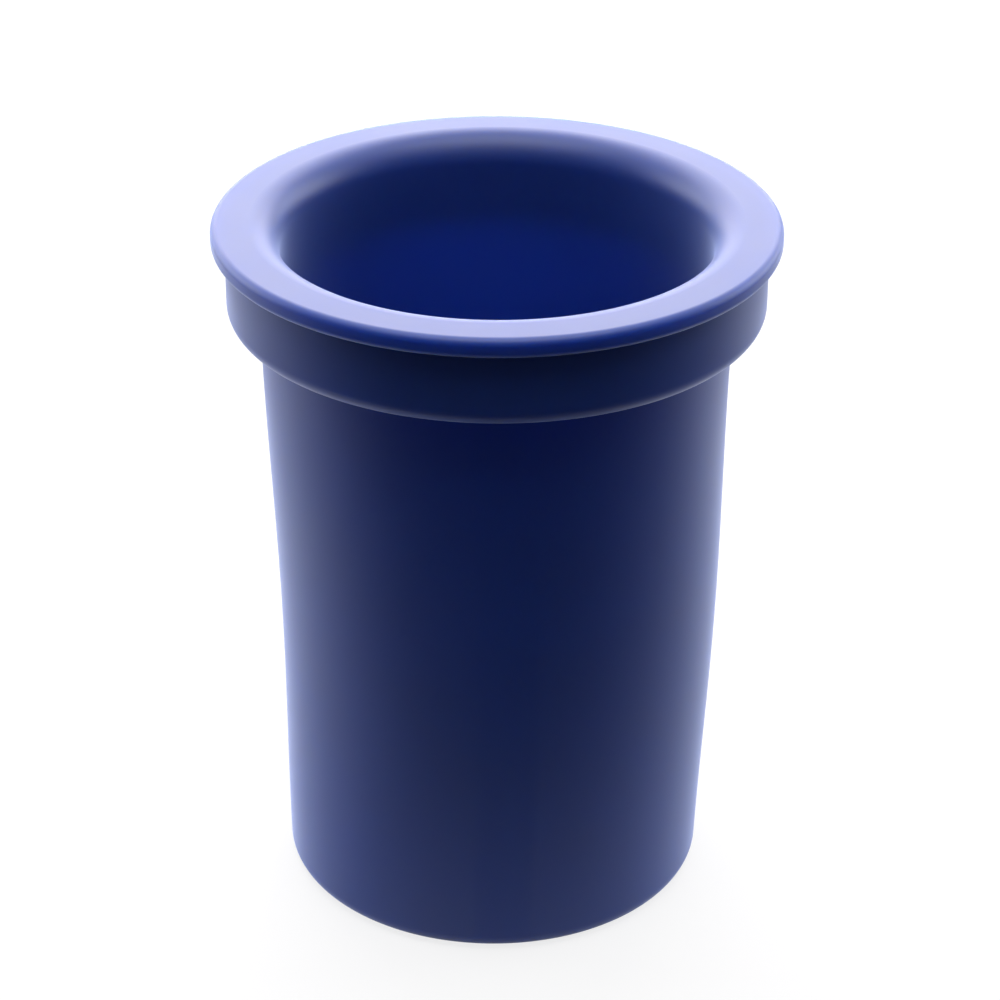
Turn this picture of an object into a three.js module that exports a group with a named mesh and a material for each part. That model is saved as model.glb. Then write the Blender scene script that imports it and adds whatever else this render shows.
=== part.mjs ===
// A flanged silicone cup with a push-on collar ring, in millimetres, +Z up.
// The origin is the centre of the flat base, and every piece is turned about the Z axis.
import * as THREE from "three";

// Driving dimensions of the cup
const CUP_HEIGHT = 108; // base to the top of the flange
const BASE_DIAMETER = 65; // outside of the wall at the base, before its corner is rounded
const BODY_TOP_DIAMETER = 71; // outside of the wall where it meets the flange
const WALL_THICKNESS = 3.5; // square to the tapered wall
const FLOOR_THICKNESS = 4;
const BASE_CORNER_RADIUS = 2.7;
const FLOOR_CORNER_RADIUS = 5; // inside, between floor and wall
const MOUTH_RADIUS = 4.5; // bell mouth between the flange's top and the bore
const FLANGE_THICKNESS = 3;
const FLANGE_SEAT_WIDTH = 0.7; // flat left under the flange, outside the collar
const FLANGE_TOP_EDGE_RADIUS = 1.1;
const FLANGE_LOWER_EDGE_RADIUS = 1;
const FLANGE_ROOT_RADIUS = 1.2; // inside corner under the flange

// Driving dimensions of the collar ring
const COLLAR_HEIGHT = 11.2;
const COLLAR_WALL = 4.2; // at its upper end, where it is thinnest
const COLLAR_TOP_EDGE_RADIUS = 0.6;
const COLLAR_LOWER_EDGE_RADIUS = 2.5;
const COLLAR_BORE_EDGE_RADIUS = 0.8; // lower end of the bore
const FIT_CLEARANCE = 0.3; // between the ring and the cup

// Fineness of the turned surfaces
const TURN_SEGMENTS = 64;
const ARC_DIVISIONS = 2; // each arc of a profile becomes twice as many straight steps

// Worked out from the driving dimensions
const flangeUnderside = CUP_HEIGHT - FLANGE_THICKNESS;
const baseRadius = BASE_DIAMETER / 2;
const bodyTopRadius = BODY_TOP_DIAMETER / 2;
const draft = Math.atan((bodyTopRadius - baseRadius) / flangeUnderside);
const collarRadius = bodyTopRadius + FIT_CLEARANCE + COLLAR_WALL;
const seatInnerRadius = collarRadius + FIT_CLEARANCE;
const seatOuterRadius = seatInnerRadius + FLANGE_SEAT_WIDTH;
const flangeRadius = seatOuterRadius + FLANGE_LOWER_EDGE_RADIUS;
const collarTop = flangeUnderside - FIT_CLEARANCE;
const collarBottom = collarTop - COLLAR_HEIGHT;

// The directions that a profile's arcs start and end in, seen in the half plane of radius and height.
const DOWN = -Math.PI / 2;
const OUT = 0;
const UP = Math.PI / 2;
const SQUARE_OUT_OF_WALL = -draft;
const SQUARE_INTO_WALL = Math.PI - draft;

// Radius, at a height, of the tapered wall's outside moved outwards by an offset square to the wall.
function wallRadius(height, offset = 0) {
  return baseRadius + height * Math.tan(draft) + offset / Math.cos(draft);
}

// A solid of revolution about Z from a closed profile of radius against height.
function turned(profile) {
  const geometry = new THREE.LatheGeometry(profile.getPoints(ARC_DIVISIONS), TURN_SEGMENTS);
  return geometry.rotateX(Math.PI / 2);
}

function silicone(color) {
  return new THREE.MeshStandardMaterial({ color, roughness: 0.55, metalness: 0 });
}

// The cup: floor, tapered wall, bell mouth and flange in one moulding.
function makeCup() {
  const rootHeight = flangeUnderside - FLANGE_ROOT_RADIUS;
  const mouthHeight = CUP_HEIGHT - MOUTH_RADIUS;
  const floorArcHeight = FLOOR_THICKNESS + FLOOR_CORNER_RADIUS;
  const flatBaseRadius = wallRadius(BASE_CORNER_RADIUS, -BASE_CORNER_RADIUS);

  const profile = new THREE.Path();
  profile.moveTo(0, 0);
  profile.lineTo(flatBaseRadius, 0);
  profile.absarc(
    flatBaseRadius,
    BASE_CORNER_RADIUS,
    BASE_CORNER_RADIUS,
    DOWN,
    SQUARE_OUT_OF_WALL,
  );
  profile.absarc(
    wallRadius(rootHeight, FLANGE_ROOT_RADIUS),
    rootHeight,
    FLANGE_ROOT_RADIUS,
    SQUARE_INTO_WALL,
    UP,
    true,
  );
  // The underside is parted just outside the collar, so that the seat there is a face of its own.
  profile.lineTo(seatInnerRadius, flangeUnderside);
  profile.absarc(
    seatOuterRadius,
    flangeUnderside + FLANGE_LOWER_EDGE_RADIUS,
    FLANGE_LOWER_EDGE_RADIUS,
    DOWN,
    OUT,
  );
  profile.absarc(
    flangeRadius - FLANGE_TOP_EDGE_RADIUS,
    CUP_HEIGHT - FLANGE_TOP_EDGE_RADIUS,
    FLANGE_TOP_EDGE_RADIUS,
    OUT,
    UP,
  );
  profile.absarc(
    wallRadius(mouthHeight, MOUTH_RADIUS - WALL_THICKNESS),
    mouthHeight,
    MOUTH_RADIUS,
    UP,
    SQUARE_INTO_WALL,
  );
  profile.absarc(
    wallRadius(floorArcHeight, -WALL_THICKNESS - FLOOR_CORNER_RADIUS),
    floorArcHeight,
    FLOOR_CORNER_RADIUS,
    SQUARE_OUT_OF_WALL,
    DOWN,
    true,
  );
  profile.lineTo(0, FLOOR_THICKNESS);

  const cup = new THREE.Mesh(turned(profile), silicone(0x14286e));
  cup.name = "cup";
  return cup;
}

// The collar ring: a band pushed up the taper until it seats under the flange.
function makeCollarRing() {
  const rootHeight = flangeUnderside - FLANGE_ROOT_RADIUS;
  const boreEdgeHeight = collarBottom + COLLAR_BORE_EDGE_RADIUS;

  const profile = new THREE.Path();
  profile.absarc(
    collarRadius - COLLAR_LOWER_EDGE_RADIUS,
    collarBottom + COLLAR_LOWER_EDGE_RADIUS,
    COLLAR_LOWER_EDGE_RADIUS,
    DOWN,
    OUT,
  );
  profile.absarc(
    collarRadius - COLLAR_TOP_EDGE_RADIUS,
    collarTop - COLLAR_TOP_EDGE_RADIUS,
    COLLAR_TOP_EDGE_RADIUS,
    OUT,
    UP,
  );
  // The upper bore edge keeps the clearance to the rounded corner under the flange.
  profile.absarc(
    wallRadius(rootHeight, FLANGE_ROOT_RADIUS),
    rootHeight,
    FLANGE_ROOT_RADIUS - FIT_CLEARANCE,
    UP,
    SQUARE_INTO_WALL,
  );
  profile.absarc(
    wallRadius(boreEdgeHeight, FIT_CLEARANCE + COLLAR_BORE_EDGE_RADIUS),
    boreEdgeHeight,
    COLLAR_BORE_EDGE_RADIUS,
    SQUARE_INTO_WALL,
    DOWN,
  );
  profile.closePath();

  const ring = new THREE.Mesh(turned(profile), silicone(0x101f52));
  ring.name = "collar_ring";
  return ring;
}

const siliconeCup = new THREE.Group();
siliconeCup.add(makeCup(), makeCollarRing());

export default siliconeCup;
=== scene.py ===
"""Looks of a flanged silicone cup with its collar ring, in metres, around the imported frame."""

import math

import bpy
import numpy as np
from mathutils import Matrix, Vector


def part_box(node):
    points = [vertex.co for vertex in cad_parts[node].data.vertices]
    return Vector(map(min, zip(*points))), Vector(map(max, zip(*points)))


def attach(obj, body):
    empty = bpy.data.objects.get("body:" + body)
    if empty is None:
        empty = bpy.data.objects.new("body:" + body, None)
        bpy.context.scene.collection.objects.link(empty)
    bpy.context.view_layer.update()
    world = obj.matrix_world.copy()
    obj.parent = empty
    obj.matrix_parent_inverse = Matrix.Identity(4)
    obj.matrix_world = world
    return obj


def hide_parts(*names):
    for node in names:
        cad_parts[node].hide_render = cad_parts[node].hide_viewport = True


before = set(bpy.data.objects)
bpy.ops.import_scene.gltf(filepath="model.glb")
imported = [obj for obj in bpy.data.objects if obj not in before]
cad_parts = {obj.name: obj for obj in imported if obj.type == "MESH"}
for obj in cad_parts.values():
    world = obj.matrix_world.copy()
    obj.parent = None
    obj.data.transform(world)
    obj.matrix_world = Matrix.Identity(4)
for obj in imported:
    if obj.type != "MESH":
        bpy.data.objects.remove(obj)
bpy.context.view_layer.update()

MM = 0.001

# Sizes read from the frame
cup_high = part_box("cup")[1]
ring_low, ring_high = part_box("collar_ring")
CUP_HEIGHT = cup_high.z
FLANGE_RADIUS = cup_high.x
COLLAR_RADIUS = ring_high.x
COLLAR_TOP = ring_high.z
COLLAR_BOTTOM = ring_low.z

# Sizes of the mouldings
FIT_CLEARANCE = 0.3 * MM
BASE_RADIUS = 32.5 * MM
BODY_TOP_RADIUS = 35.5 * MM
WALL_THICKNESS = 3.5 * MM
FLOOR_THICKNESS = 4 * MM
BASE_CORNER_RADIUS = 2.7 * MM
FLOOR_CORNER_RADIUS = 5 * MM
MOUTH_RADIUS = 4.5 * MM
FLANGE_TOP_EDGE_RADIUS = 1.1 * MM
FLANGE_LOWER_EDGE_RADIUS = 1 * MM
FLANGE_ROOT_RADIUS = 1.2 * MM
COLLAR_TOP_EDGE_RADIUS = 0.6 * MM
COLLAR_LOWER_EDGE_RADIUS = 2.5 * MM
COLLAR_BORE_EDGE_RADIUS = 0.8 * MM
BOW_DEPTH = 0.65 * MM  # how far the soft wall bulges to +X
BOW_HEIGHT = 88 * MM  # under the collar, which keeps the wall true above it
BASE_LEAN = 0.31 * MM  # how far the soft cup's base stands to -X of its mouth

FLANGE_UNDERSIDE = COLLAR_TOP + FIT_CLEARANCE
DRAFT = math.atan((BODY_TOP_RADIUS - BASE_RADIUS) / FLANGE_UNDERSIDE)

# Fineness of the turned surfaces
TURN_STEPS = 256
ARC_STEPS = 16
STRAIGHT_STEPS = 24

# Directions that the profiles' arcs start and end in, in the half plane of radius and height
DOWN = -math.pi / 2
OUT = 0.0
UP = math.pi / 2
SQUARE_OUT_OF_WALL = -DRAFT
SQUARE_INTO_WALL = math.pi - DRAFT
DOWN_FROM_INSIDE = 3 * math.pi / 2

# Finish of the silicone
PIGMENT_DEEP = "#123583"
PIGMENT_CLEAR = "#143B90"
CLOUD_SIZE = 14 * MM  # of the faint patches where the pigment is unevenly mixed
SKIN_SMOOTHEST = 0.44
SKIN_ROUGHEST = 0.5
GRAIN_SIZE = 0.5 * MM  # the real grain, about 0.1 mm, is too fine to show, so it is drawn coarser
GRAIN_HEIGHT = 0.02 * MM
GRAIN_STRENGTH = 0.12
SILICONE_IOR = 1.5  # above plain silicone's 1.41, for the strength of the flange's gloss
SCATTER_MM = (0.5, 6.5, 8.8)  # how far red, green and blue light spread in the rubber
BLOOM_WEIGHT = 0.8
BLOOM_ROUGHNESS = 0.32
BLOOM_TINT = "#C9D8FF"

# The photograph's camera
CAMERA_DISTANCE = 489.8 * MM  # from the middle of the cup's axis
CAMERA_ELEVATION = math.radians(28.81)
CAMERA_ROLL = math.radians(0.22)
FOCAL_PIXELS = 3166.7
CENTRE_PIXEL_X = 495.87
CENTRE_PIXEL_Y = 541.18
FRAME_PIXELS = 1000
SENSOR_WIDTH_MM = 36
NEAR_CLIP = 10 * MM

# The studio, in metres; a light's level is the radiance of its face, where 1 is white
PLAIN_WHITE = "#FFFFFF"
WARM_WHITE = "#FFF8F7"  # a trace of warmth, which turns the flange's gloss from blue to lilac
PAPER_WHITE = "#F4F4F6"
FLAG_GREY = "#4B4E52"
# painted shadow: dark colour of a sheet on the floor in front, which stands in for the front floor lying in
# the cup's shadow; the cup's gloss and soft light see it, the camera doesn't
SHADOW_BLACK = "#2A2A2E"
FLOOR_REACH = 4.0
FLOOR_WHITE_SHARE = 0.8  # the rest of the floor's look is lit paper, which keeps the shadow
WORLD_SOFT_LEVEL = 0.22
BACK_PLACE = (-0.05, 0.95, 0.6)
BACK_SIZE = (1.2, 1.1)
BACK_LEVEL = 5.0
SIDE_PLACE = (0.87, 0.5, 0.36)
SIDE_SIZE = (0.9, 0.6)
SIDE_LEVEL = 4.2
TOP_PLACE = (0, -0.15, 1.2)
TOP_SIZE = (1.2, 0.8)
TOP_LEVEL = 3.6
FLAG_DISTANCE = 0.62
FLAG_HALF_TURN = 95  # degrees each way from the front
FLAG_STEPS = 38
FLAG_FOOT = 0.005
FLAG_TOP = 0.6
# A sheet of painted shadow over the floor in front of the cup, which casts no shadow itself
SHADOW_SHEET_REACH = 0.6
SHADOW_SHEET_LIFT = 0.001
SHADOW_STRETCH = 2.7  # metres off the painted shadow's slope for each metre behind the cup
SHADOW_CLEAR = -0.06  # slope at which the painted shadow is fully clear
SHADOW_FULL = 0.44  # slope at which it is fully dark
SHADOW_TURN = 10  # degrees that the open part swings to the left of the back


def linear(hex_colour):
    """An sRGB hex colour as linear RGBA, by the sRGB curve's two pieces."""
    channels = np.array([int(hex_colour[i : i + 2], 16) for i in (1, 3, 5)]) / 255
    low = channels / 12.92
    high = ((channels + 0.055) / 1.055) ** 2.4
    return (*np.where(channels <= 0.04045, low, high), 1.0)


def add_node(tree, kind, settings=None, sockets=None):
    """Adds a node, sets its properties, and sets each input socket to a value or links it to an output."""
    node = tree.nodes.new(kind)
    for name, value in (settings or {}).items():
        setattr(node, name, value)
    for name, value in (sockets or {}).items():
        socket = node.inputs[name]
        if isinstance(value, bpy.types.NodeSocket):
            tree.links.new(value, socket)
        else:
            socket.default_value = value
    return node


def bare_material(name):
    """A material whose node tree is empty, and that tree."""
    material = bpy.data.materials.new(name)
    material.use_nodes = True
    material.node_tree.nodes.clear()
    return material, material.node_tree


def wall_radius(height, offset=0.0):
    """Radius at a height of the tapered wall's outside, moved outwards by an offset square to the wall."""
    return BASE_RADIUS + height * math.tan(DRAFT) + offset / math.cos(DRAFT)


def arc(radius_at, height_at, radius, start, end):
    """Points of a circular arc about a centre, evenly spaced in angle from start to end."""
    angle = np.linspace(start, end, ARC_STEPS + 1)
    return np.column_stack([radius_at + radius * np.cos(angle), height_at + radius * np.sin(angle)])


def joined(stretches):
    """One profile from stretches of points, with a straight line over each gap between two stretches.

    A line's points crowd towards its ends by a cosine, so that shading stays flat up to the arcs.
    """
    share = 0.5 - 0.5 * np.cos(np.linspace(0, math.pi, STRAIGHT_STEPS + 1))[1:-1, None]
    parts = []
    for here, after in zip(stretches[:-1], stretches[1:]):
        parts += [here, here[-1] + share * (after[0] - here[-1])]
    return np.concatenate([*parts, stretches[-1]])


def cup_profile():
    """Half section of the cup, from the axis under the base round the outside to the axis above the floor."""
    root_height = FLANGE_UNDERSIDE - FLANGE_ROOT_RADIUS
    mouth_height = CUP_HEIGHT - MOUTH_RADIUS
    floor_height = FLOOR_THICKNESS + FLOOR_CORNER_RADIUS
    return joined([
        np.array([[0.0, 0.0]]),
        arc(wall_radius(BASE_CORNER_RADIUS, -BASE_CORNER_RADIUS), BASE_CORNER_RADIUS,
            BASE_CORNER_RADIUS, DOWN, SQUARE_OUT_OF_WALL),
        arc(wall_radius(root_height, FLANGE_ROOT_RADIUS), root_height,
            FLANGE_ROOT_RADIUS, SQUARE_INTO_WALL, UP),
        arc(FLANGE_RADIUS - FLANGE_LOWER_EDGE_RADIUS, FLANGE_UNDERSIDE + FLANGE_LOWER_EDGE_RADIUS,
            FLANGE_LOWER_EDGE_RADIUS, DOWN, OUT),
        arc(FLANGE_RADIUS - FLANGE_TOP_EDGE_RADIUS, CUP_HEIGHT - FLANGE_TOP_EDGE_RADIUS,
            FLANGE_TOP_EDGE_RADIUS, OUT, UP),
        arc(wall_radius(mouth_height, MOUTH_RADIUS - WALL_THICKNESS), mouth_height,
            MOUTH_RADIUS, UP, SQUARE_INTO_WALL),
        arc(wall_radius(floor_height, -WALL_THICKNESS - FLOOR_CORNER_RADIUS), floor_height,
            FLOOR_CORNER_RADIUS, SQUARE_OUT_OF_WALL, DOWN),
        np.array([[0.0, FLOOR_THICKNESS]]),
    ])


def collar_profile():
    """Section of the collar ring, once round from its lower outer edge; the last point meets the first."""
    root_height = FLANGE_UNDERSIDE - FLANGE_ROOT_RADIUS
    bore_edge_height = COLLAR_BOTTOM + COLLAR_BORE_EDGE_RADIUS
    lower_edge = arc(COLLAR_RADIUS - COLLAR_LOWER_EDGE_RADIUS, COLLAR_BOTTOM + COLLAR_LOWER_EDGE_RADIUS,
                     COLLAR_LOWER_EDGE_RADIUS, DOWN, OUT)
    return joined([
        lower_edge,
        arc(COLLAR_RADIUS - COLLAR_TOP_EDGE_RADIUS, COLLAR_TOP - COLLAR_TOP_EDGE_RADIUS,
            COLLAR_TOP_EDGE_RADIUS, OUT, UP),
        arc(wall_radius(root_height, FLANGE_ROOT_RADIUS), root_height,
            FLANGE_ROOT_RADIUS - FIT_CLEARANCE, UP, SQUARE_INTO_WALL),
        arc(wall_radius(bore_edge_height, FIT_CLEARANCE + COLLAR_BORE_EDGE_RADIUS), bore_edge_height,
            COLLAR_BORE_EDGE_RADIUS, SQUARE_INTO_WALL, DOWN_FROM_INSIDE),
        lower_edge[:1],
    ])


def turned(profile):
    """Surface of revolution: a point of the profile at (radius, height), turned by an angle about Z.

    Returns the grid of points, one row for each profile point and one column for each step of the turn.
    """
    angle = np.arange(TURN_STEPS) * (2 * math.pi / TURN_STEPS)
    radius, height = profile[:, :1], profile[:, 1:]
    x, y = radius * np.cos(angle), radius * np.sin(angle)
    return np.stack([x, y, np.broadcast_to(height, x.shape)], axis=2)


def bowed(grid):
    """Leans the soft cup and bulges its wall, both along X.

    The lean falls evenly from the base to nothing at the top. The bulge is a squared half sine wave
    over the height from the base to the bow's end.
    """
    height = grid[..., 2]
    share = np.clip(height / BOW_HEIGHT, 0, 1)
    moved = grid.copy()
    moved[..., 0] += BOW_DEPTH * np.sin(math.pi * share) ** 2 - BASE_LEAN * (1 - height / CUP_HEIGHT)
    return moved


def grid_faces(numbers):
    """Quads between neighbouring rows of a grid of vertex numbers whose columns close on themselves."""
    turn = np.roll(numbers, -1, axis=1)
    return np.stack([numbers[:-1], turn[:-1], turn[1:], numbers[1:]], axis=2).reshape(-1, 4)


def mesh_object(name, points, faces, material):
    """A mesh object at the origin, from an array of points and lists of vertex numbers."""
    mesh = bpy.data.meshes.new(name)
    mesh.from_pydata(points.tolist(), [], faces)
    mesh.materials.append(material)
    thing = bpy.data.objects.new(name, mesh)
    bpy.context.scene.collection.objects.link(thing)
    return thing


def make_cup(material):
    """The cup's turned grid, whose base and floor are closed by fans about one point each on the axis."""
    grid = bowed(turned(cup_profile()))
    rings = grid[1:-1].reshape(-1, 3)
    numbers = np.arange(len(rings)).reshape(-1, TURN_STEPS)
    under, over = len(rings), len(rings) + 1
    points = np.concatenate([rings, grid[:1, 0], grid[-1:, 0]])
    first, last = numbers[0], numbers[-1]
    base_fan = np.column_stack([np.full_like(first, under), np.roll(first, -1), first])
    floor_fan = np.column_stack([np.full_like(last, over), last, np.roll(last, -1)])
    faces = [*grid_faces(numbers).tolist(), *base_fan.tolist(), *floor_fan.tolist()]
    cup = mesh_object("silicone_cup", points, faces, material)
    cup.data.shade_smooth()
    return cup


def make_collar(material):
    """The collar ring's turned grid, closed from its last row to its first."""
    grid = turned(collar_profile()[:-1])
    numbers = np.arange(grid.shape[0] * TURN_STEPS).reshape(-1, TURN_STEPS)
    faces = grid_faces(np.concatenate([numbers, numbers[:1]])).tolist()
    collar = mesh_object("silicone_collar_ring", grid.reshape(-1, 3), faces, material)
    collar.data.shade_smooth()
    return collar


def silicone_material(name):
    """Pigmented silicone rubber, moulded against a finely blasted steel tool.

    It gives the eye a soft satin skin with no sharp highlights, a pale bluish bloom where it is seen
    at a low angle, and a saturated blue where light shines through the wall.
    """
    material, tree = bare_material(name)
    place = add_node(tree, "ShaderNodeTexCoord").outputs["Object"]

    clouds = add_node(tree, "ShaderNodeTexNoise", sockets={
        "Vector": place, "Scale": 1 / CLOUD_SIZE, "Detail": 3.0, "Roughness": 0.5})
    pigment = add_node(tree, "ShaderNodeMix", {"data_type": "RGBA"}, {
        "Factor": clouds.outputs["Fac"], "A": linear(PIGMENT_DEEP), "B": linear(PIGMENT_CLEAR)})
    skin = add_node(tree, "ShaderNodeMapRange", sockets={
        "Value": clouds.outputs["Fac"], "To Min": SKIN_SMOOTHEST, "To Max": SKIN_ROUGHEST})

    grain = add_node(tree, "ShaderNodeTexNoise", sockets={
        "Vector": place, "Scale": 1 / GRAIN_SIZE, "Detail": 2.0, "Roughness": 0.6})
    bump = add_node(tree, "ShaderNodeBump", sockets={
        "Strength": GRAIN_STRENGTH, "Distance": GRAIN_HEIGHT, "Height": grain.outputs["Fac"]})

    shader = add_node(tree, "ShaderNodeBsdfPrincipled", sockets={
        "Base Color": pigment.outputs["Result"],
        "Roughness": skin.outputs["Result"],
        "IOR": SILICONE_IOR,
        "Subsurface Weight": 1.0,
        "Subsurface Radius": SCATTER_MM,
        "Subsurface Scale": MM,
        "Sheen Weight": BLOOM_WEIGHT,
        "Sheen Roughness": BLOOM_ROUGHNESS,
        "Sheen Tint": linear(BLOOM_TINT),
        "Normal": bump.outputs["Normal"],
    })
    add_node(tree, "ShaderNodeOutputMaterial", sockets={"Surface": shader.outputs["BSDF"]})
    return material


def seen_ray(tree):
    """1 for a ray from the eye, or one that a mirror or glass sends on, and 0 for soft light."""
    path = add_node(tree, "ShaderNodeLightPath").outputs
    eye = add_node(tree, "ShaderNodeMath", {"operation": "MAXIMUM"}, {
        0: path["Is Camera Ray"], 1: path["Is Glossy Ray"]})
    seen = add_node(tree, "ShaderNodeMath", {"operation": "MAXIMUM"}, {
        0: eye.outputs["Value"], 1: path["Is Transmission Ray"]})
    return seen.outputs["Value"]


def floor_material():
    """Matt white paper, shown nearly white to the camera and still darkened by the cup's shadow."""
    material, tree = bare_material("white_paper")
    paper = add_node(tree, "ShaderNodeBsdfDiffuse", sockets={"Color": linear(PAPER_WHITE)})
    white = add_node(tree, "ShaderNodeEmission", sockets={"Color": linear(PLAIN_WHITE), "Strength": 1.0})
    share = add_node(tree, "ShaderNodeMath", {"operation": "MULTIPLY"}, {
        0: seen_ray(tree), 1: FLOOR_WHITE_SHARE})
    mixed = add_node(tree, "ShaderNodeMixShader", sockets={
        0: share.outputs["Value"], 1: paper.outputs["BSDF"], 2: white.outputs["Emission"]})
    add_node(tree, "ShaderNodeOutputMaterial", sockets={"Surface": mixed.outputs["Shader"]})
    return material


def flag_material():
    """Dark grey studio flag cloth."""
    material, tree = bare_material("grey_flag")
    cloth = add_node(tree, "ShaderNodeBsdfDiffuse", sockets={"Color": linear(FLAG_GREY)})
    add_node(tree, "ShaderNodeOutputMaterial", sockets={"Surface": cloth.outputs["BSDF"]})
    return material


def shadow_sheet_material():
    """Painted shadow of the front floor: a dark sheet that darkens away from the cup, by a smooth step over
    its slope.

    The slope is the distance from the cup's axis, less a multiple of the distance behind the cup.
    """
    material, tree = bare_material("painted_shadow_sheet")
    place = add_node(tree, "ShaderNodeTexCoord").outputs["Object"]
    facing = math.radians(SHADOW_TURN)
    behind = add_node(tree, "ShaderNodeVectorMath", {"operation": "DOT_PRODUCT"}, {
        0: place, 1: (-math.sin(facing), math.cos(facing), 0)})
    away = add_node(tree, "ShaderNodeVectorMath", {"operation": "LENGTH"}, {0: place})
    slope = add_node(tree, "ShaderNodeMath", {"operation": "MULTIPLY_ADD"}, {
        0: behind.outputs["Value"], 1: -SHADOW_STRETCH, 2: away.outputs["Value"]})
    shade = add_node(tree, "ShaderNodeMapRange", {"interpolation_type": "SMOOTHSTEP"}, {
        "Value": slope.outputs["Value"], "From Min": SHADOW_CLEAR, "From Max": SHADOW_FULL})
    see_through = add_node(tree, "ShaderNodeBsdfTransparent")
    painted_dark = add_node(tree, "ShaderNodeBsdfDiffuse", sockets={"Color": linear(SHADOW_BLACK)})
    painted_shade = add_node(tree, "ShaderNodeMixShader", sockets={
        0: shade.outputs["Result"], 1: see_through.outputs["BSDF"], 2: painted_dark.outputs["BSDF"]})
    add_node(tree, "ShaderNodeOutputMaterial", sockets={"Surface": painted_shade.outputs["Shader"]})
    return material


def stage_sheet(name, points, faces, material):
    """A sheet of the studio, which isn't part of the object."""
    sheet = mesh_object(name, points, faces, material)
    return sheet


def level_square(reach, height):
    """Corners of a level square at a height, centred on the axis and reaching as far each way."""
    return np.array([
        (-reach, -reach, height),
        (reach, -reach, height),
        (reach, reach, height),
        (-reach, reach, height),
    ])


def make_floor():
    """A square sheet of white paper, far wider than the view."""
    stage_sheet("floor", level_square(FLOOR_REACH, 0), [[0, 1, 2, 3]], floor_material())


def make_front_flag():
    """A grey flag bent round the front of the room, so that the cup's near side faces a dark room.

    It is a cylinder wall about Z: turn from the front and height are its two parameters.
    """
    turn = np.radians(np.linspace(-FLAG_HALF_TURN, FLAG_HALF_TURN, FLAG_STEPS + 1))
    across = np.stack([FLAG_DISTANCE * np.sin(turn), -FLAG_DISTANCE * np.cos(turn)], axis=1)
    heights = np.array([FLAG_FOOT, FLAG_TOP])
    points = np.concatenate([np.column_stack([across, np.full(len(turn), z)]) for z in heights])
    near = np.arange(FLAG_STEPS)
    faces = np.column_stack([near, near + 1, near + len(turn) + 1, near + len(turn)])
    flag = stage_sheet("front_flag", points, faces.tolist(), flag_material())
    flag.visible_camera = False


def make_front_shadow_sheet():
    """A square sheet of painted shadow on the floor, dark towards the front, that the cup faces and the
    camera doesn't see.
    """
    painted_shade = stage_sheet("front_painted_shadow", level_square(SHADOW_SHEET_REACH, SHADOW_SHEET_LIFT), [[0, 1, 2, 3]], shadow_sheet_material())
    painted_shade.visible_camera = False
    painted_shade.visible_shadow = False


def make_world():
    """White surroundings for the eye and for reflections, and an even dimmer level for soft light."""
    world = bpy.data.worlds.new("studio")
    bpy.context.scene.world = world
    world.use_nodes = True
    tree = world.node_tree
    tree.nodes.clear()
    level = add_node(tree, "ShaderNodeMapRange", sockets={
        "Value": seen_ray(tree), "To Min": WORLD_SOFT_LEVEL, "To Max": 1.0})
    back = add_node(tree, "ShaderNodeBackground", sockets={
        "Color": linear(PLAIN_WHITE), "Strength": level.outputs["Result"]})
    add_node(tree, "ShaderNodeOutputWorld", sockets={"Surface": back.outputs["Background"]})


def add_softbox(name, place, size, radiance, colour):
    """A rectangular area light aimed at the cup, whose power gives its face the stated radiance."""
    lamp = bpy.data.lights.new(name, "AREA")
    lamp.shape = "RECTANGLE"
    lamp.size, lamp.size_y = size
    lamp.energy = radiance * math.pi * lamp.size * lamp.size_y
    lamp.color = linear(colour)[:3]
    lamp_object = bpy.data.objects.new(name, lamp)
    bpy.context.scene.collection.objects.link(lamp_object)
    aim = Vector((0, 0, CUP_HEIGHT / 2)) - Vector(place)
    lamp_object.location = place
    lamp_object.rotation_euler = aim.to_track_quat("-Z", "Y").to_euler()
    lamp_object.visible_camera = False


def make_lights():
    """A broad light behind, a low one at each rear corner, and one overhead."""
    across, behind, height = SIDE_PLACE
    add_softbox("back_softbox", BACK_PLACE, BACK_SIZE, BACK_LEVEL, WARM_WHITE)
    add_softbox("left_softbox", (-across, behind, height), SIDE_SIZE, SIDE_LEVEL, PLAIN_WHITE)
    add_softbox("right_softbox", SIDE_PLACE, SIDE_SIZE, SIDE_LEVEL, PLAIN_WHITE)
    add_softbox("top_softbox", TOP_PLACE, TOP_SIZE, TOP_LEVEL, PLAIN_WHITE)


def make_camera():
    """The photograph's viewpoint: above the front, aimed at the middle of the axis, with a slight roll."""
    camera = bpy.data.cameras.new("camera")
    camera.sensor_width = SENSOR_WIDTH_MM
    camera.lens = FOCAL_PIXELS / FRAME_PIXELS * SENSOR_WIDTH_MM
    camera.shift_x = (FRAME_PIXELS / 2 - CENTRE_PIXEL_X) / FRAME_PIXELS
    camera.shift_y = (CENTRE_PIXEL_Y - FRAME_PIXELS / 2) / FRAME_PIXELS
    camera.clip_start = NEAR_CLIP
    camera_object = bpy.data.objects.new("camera", camera)
    bpy.context.scene.collection.objects.link(camera_object)
    back = Vector((0, -math.cos(CAMERA_ELEVATION), math.sin(CAMERA_ELEVATION)))
    tilt = Matrix.Rotation(math.pi / 2 - CAMERA_ELEVATION, 4, "X")
    roll = Matrix.Rotation(CAMERA_ROLL, 4, "Z")
    aim = Vector((0, 0, CUP_HEIGHT / 2))
    camera_object.matrix_world = Matrix.Translation(aim + CAMERA_DISTANCE * back) @ tilt @ roll
    bpy.context.scene.camera = camera_object


bpy.context.scene.view_settings.view_transform = "Standard"
make_camera()
make_world()
make_lights()
make_floor()
make_front_flag()
make_front_shadow_sheet()

cup = make_cup(silicone_material("blue_silicone_cup"))
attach(cup, "cup")
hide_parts("cup")

collar = make_collar(silicone_material("blue_silicone_collar"))
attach(collar, "collar_ring")
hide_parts("collar_ring")
